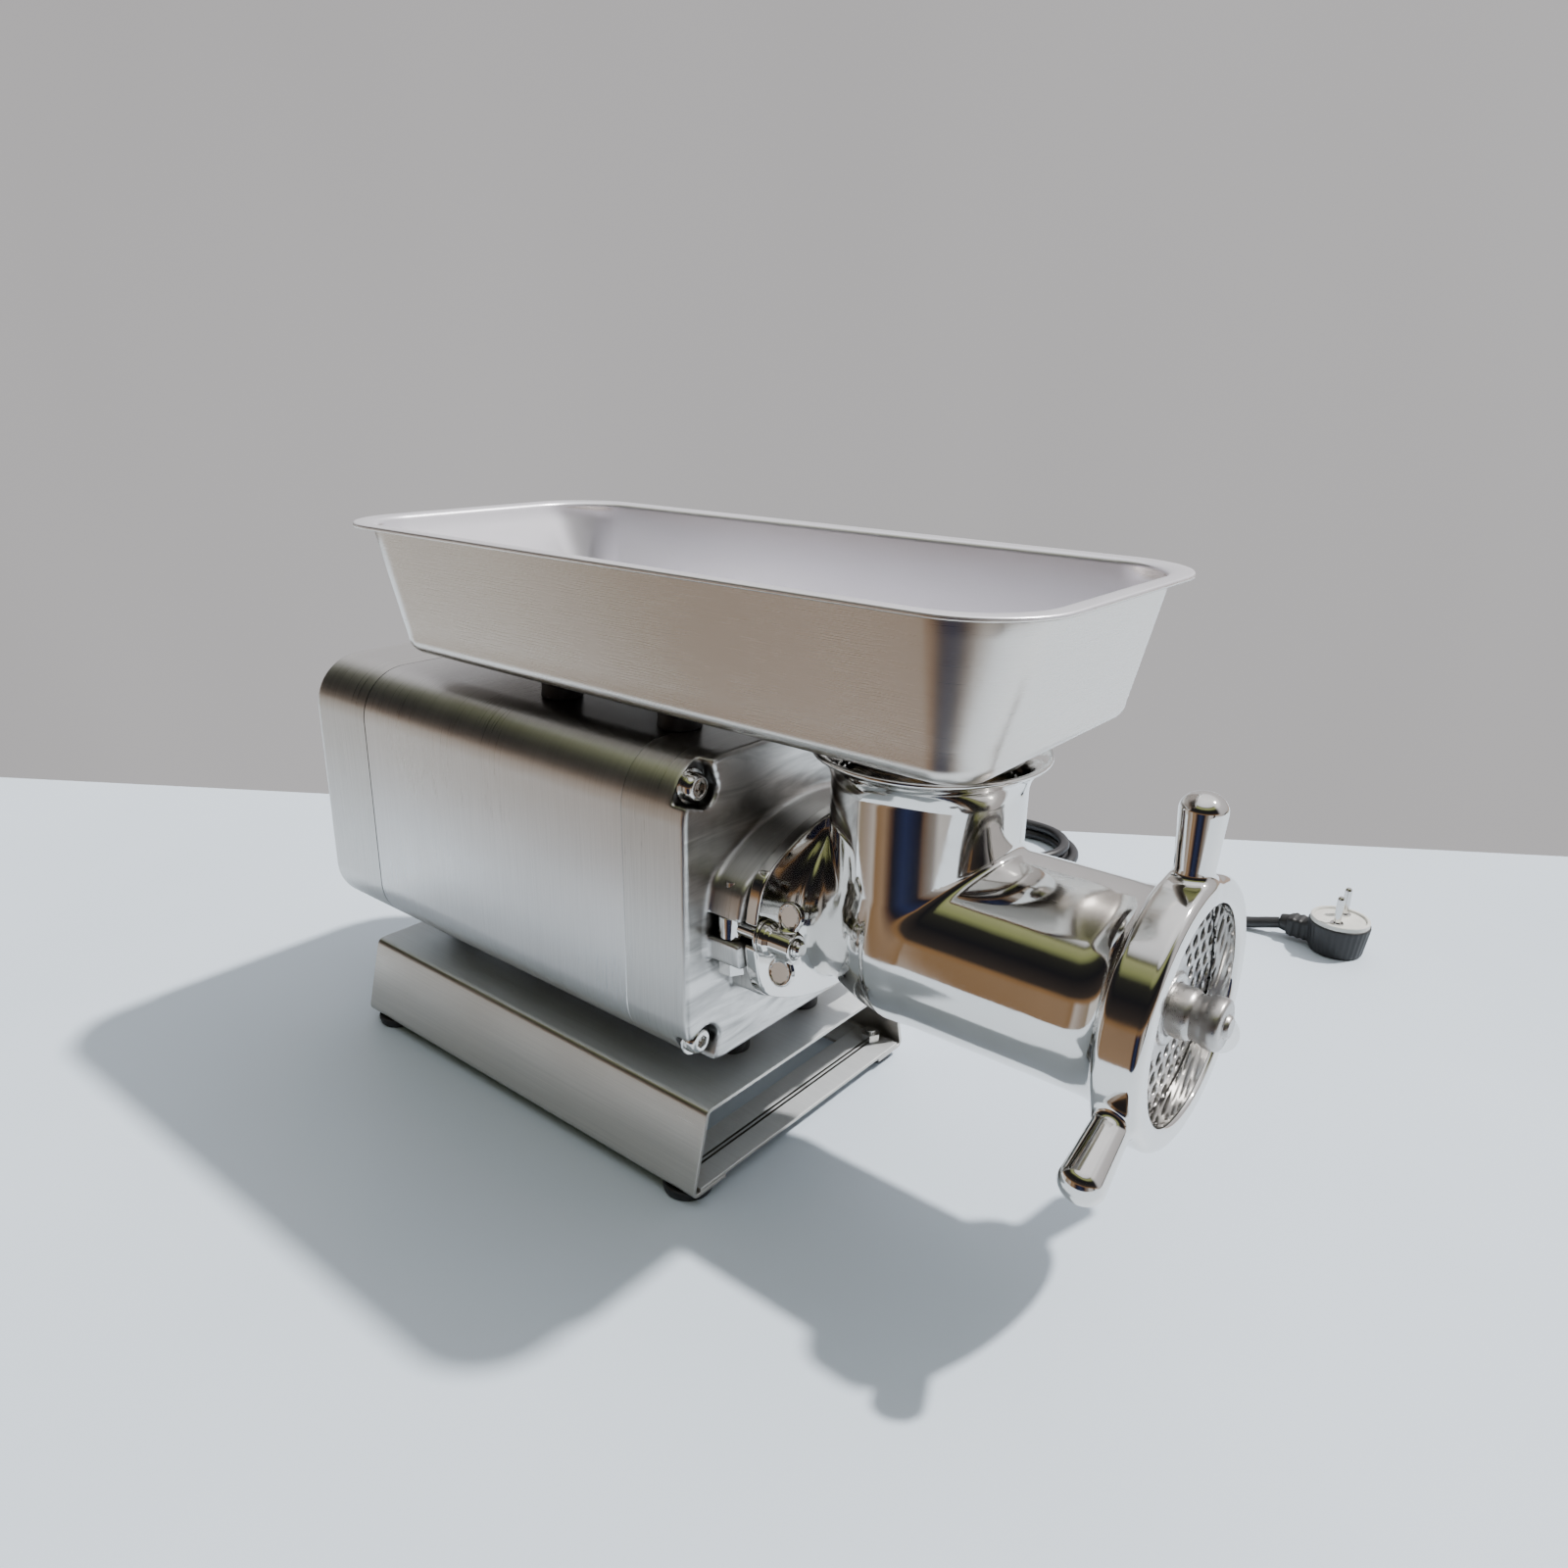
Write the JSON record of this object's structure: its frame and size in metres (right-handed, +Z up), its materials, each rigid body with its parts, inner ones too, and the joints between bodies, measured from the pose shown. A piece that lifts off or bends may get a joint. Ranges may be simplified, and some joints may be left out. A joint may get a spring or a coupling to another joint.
{
  "type": "electric meat grinder",
  "caption": "Benchtop electric meat grinder: brushed steel body on a folded base, polished throat and barrel, perforated plate behind a lugged ring nut, lift-off feed tray.",
  "frame": {"origin": "on the table, midway along and across the machine without its mains lead", "axes": "+X from the back of the body to the plate end, +Y to the switch side, +Z up"},
  "size_m": [0.491, 0.542, 0.295],
  "materials": {
    "brushed_body": "vertical brushed stainless",
    "base_steel": "mill-finish stainless sheet",
    "tray_steel": "satin pressed stainless",
    "polished": "mirror polished stainless",
    "cast_alu": "satin cast aluminium",
    "fastener": "bright steel",
    "gear_steel": "hardened and oiled",
    "lamination": "stacked sheet steel",
    "copper": "varnished copper wire",
    "bronze": "sintered bronze",
    "black_rubber": "matte moulded rubber",
    "seal_rubber": "brown nitrile rubber",
    "black_plastic": "moulded black plastic",
    "grey_plastic": "moulded plastic",
    "green_plastic": "glossy moulded plastic",
    "red_plastic": "glossy moulded plastic"
  },
  "bodies": {
    "root": {"base_cover": "base_steel", "front_strap": "base_steel", "rear_strap": "base_steel", "rubber_feet": "black_rubber", "foot_bolts": "fastener", "foot_nuts": "fastener", "body_spacers": "black_plastic", "spacer_bolts": "fastener", "body_shell": "brushed_body", "front_cover": "cast_alu", "rear_cover": "cast_alu", "front_cover_screws": "fastener", "rear_cover_screws": "fastener", "gear_case": "cast_alu", "gear_case_gasket": "seal_rubber", "gear_case_bolts": "fastener", "motor_frame": "cast_alu", "stator_core": "lamination", "stator_windings": "copper", "motor_end_shield": "cast_alu", "motor_bearings": "gear_steel", "layshaft_bearings": "gear_steel", "output_bearings": "gear_steel", "oil_seal": "seal_rubber", "grinder_head": "polished", "head_bush": "bronze", "plate_key": "fastener", "hinge_pins": "fastener", "tray_buffers": "black_rubber", "switch_bezel": "black_plastic", "switch_block": "grey_plastic", "run_capacitor": "cast_alu", "terminal_block": "grey_plastic", "cord_gland": "black_rubber", "power_cord": "black_rubber", "cord_coil": "black_rubber", "plug_cord": "black_rubber", "plug": "black_rubber"},
    "rotor": {"rotor_core": "lamination", "rotor_shaft": "gear_steel", "motor_pinion": "gear_steel", "cooling_fan": "black_plastic"},
    "lay_gears": {"layshaft": "gear_steel", "layshaft_gear": "gear_steel"},
    "drive": {"output_shaft": "gear_steel", "output_gear": "gear_steel", "auger": "polished", "auger_stud": "polished", "knife": "polished"},
    "plate": {"perforated_plate": "polished"},
    "ring": {"ring_nut": "polished"},
    "near_bolt": {"swing_bolt_near": "polished"},
    "near_washer": {"washer_near": "polished"},
    "near_nut": {"wing_nut_near": "polished"},
    "far_bolt": {"swing_bolt_far": "polished"},
    "far_washer": {"washer_far": "polished"},
    "far_nut": {"wing_nut_far": "polished"},
    "tray": {"feed_tray": "tray_steel"},
    "start": {"start_button": "green_plastic"},
    "stop": {"stop_button": "red_plastic"}
  },
  "joints": [
    {"name": "output_spin", "type": "hinge", "parent": "root", "child": "drive", "pos_m": [0.06, 0, 0.1355], "axis": [1, 0, 0], "continuous": true},
    {"name": "layshaft_spin", "type": "hinge", "parent": "root", "child": "lay_gears", "pos_m": [0, 0.03637, 0.1145], "axis": [1, 0, 0], "continuous": true},
    {"name": "rotor_spin", "type": "hinge", "parent": "root", "child": "rotor", "pos_m": [-0.12, 0, 0.1355], "axis": [1, 0, 0], "continuous": true},
    {"name": "plate_slide", "type": "slide", "parent": "root", "child": "plate", "axis": [1, 0, 0], "range_m": [0, 0.0101]},
    {"name": "ring_turn", "type": "hinge", "parent": "plate", "child": "ring", "pos_m": [0.2215, 0, 0.1355], "axis": [1, 0, 0], "range_deg": [0, 900]},
    {"name": "near_bolt_swing", "type": "hinge", "parent": "root", "child": "near_bolt", "pos_m": [0.0485, -0.0628, 0.1395], "axis": [0, 0, -1], "range_deg": [0, 88]},
    {"name": "near_washer_slide", "type": "slide", "parent": "near_bolt", "child": "near_washer", "axis": [1, 0, 0], "range_m": [0, 0.0025]},
    {"name": "near_nut_turn", "type": "hinge", "parent": "near_washer", "child": "near_nut", "pos_m": [0.0735, -0.0628, 0.1395], "axis": [1, 0, 0], "range_deg": [0, 721]},
    {"name": "far_bolt_swing", "type": "hinge", "parent": "root", "child": "far_bolt", "pos_m": [0.0485, 0.0628, 0.1395], "axis": [0, 0, 1], "range_deg": [0, 88]},
    {"name": "far_washer_slide", "type": "slide", "parent": "far_bolt", "child": "far_washer", "axis": [1, 0, 0], "range_m": [0, 0.0025]},
    {"name": "far_nut_turn", "type": "hinge", "parent": "far_washer", "child": "far_nut", "pos_m": [0.0735, 0.0628, 0.1395], "axis": [1, 0, 0], "range_deg": [0, 721]},
    {"name": "tray_lift", "type": "slide", "parent": "root", "child": "tray", "axis": [0, 0, 1], "range_m": [0, 0.12]},
    {"name": "start_push", "type": "slide", "parent": "root", "child": "start", "axis": [0, -1, 0], "range_m": [0, 0.003], "stiffness_N_per_m": 500},
    {"name": "stop_push", "type": "slide", "parent": "root", "child": "stop", "axis": [0, -1, 0], "range_m": [0, 0.003], "stiffness_N_per_m": 500}
  ],
  "couplings": [
    {"joint": "layshaft_spin", "follows": "output_spin", "ratio": -2.2308},
    {"joint": "rotor_spin", "follows": "output_spin", "ratio": 6.6923},
    {"joint": "plate_slide", "follows": "ring_turn", "m_per_rad": 0.00063662},
    {"joint": "near_nut_turn", "follows": "near_washer_slide", "rad_per_m": 5026.5},
    {"joint": "far_nut_turn", "follows": "far_washer_slide", "rad_per_m": 5026.5}
  ]
}
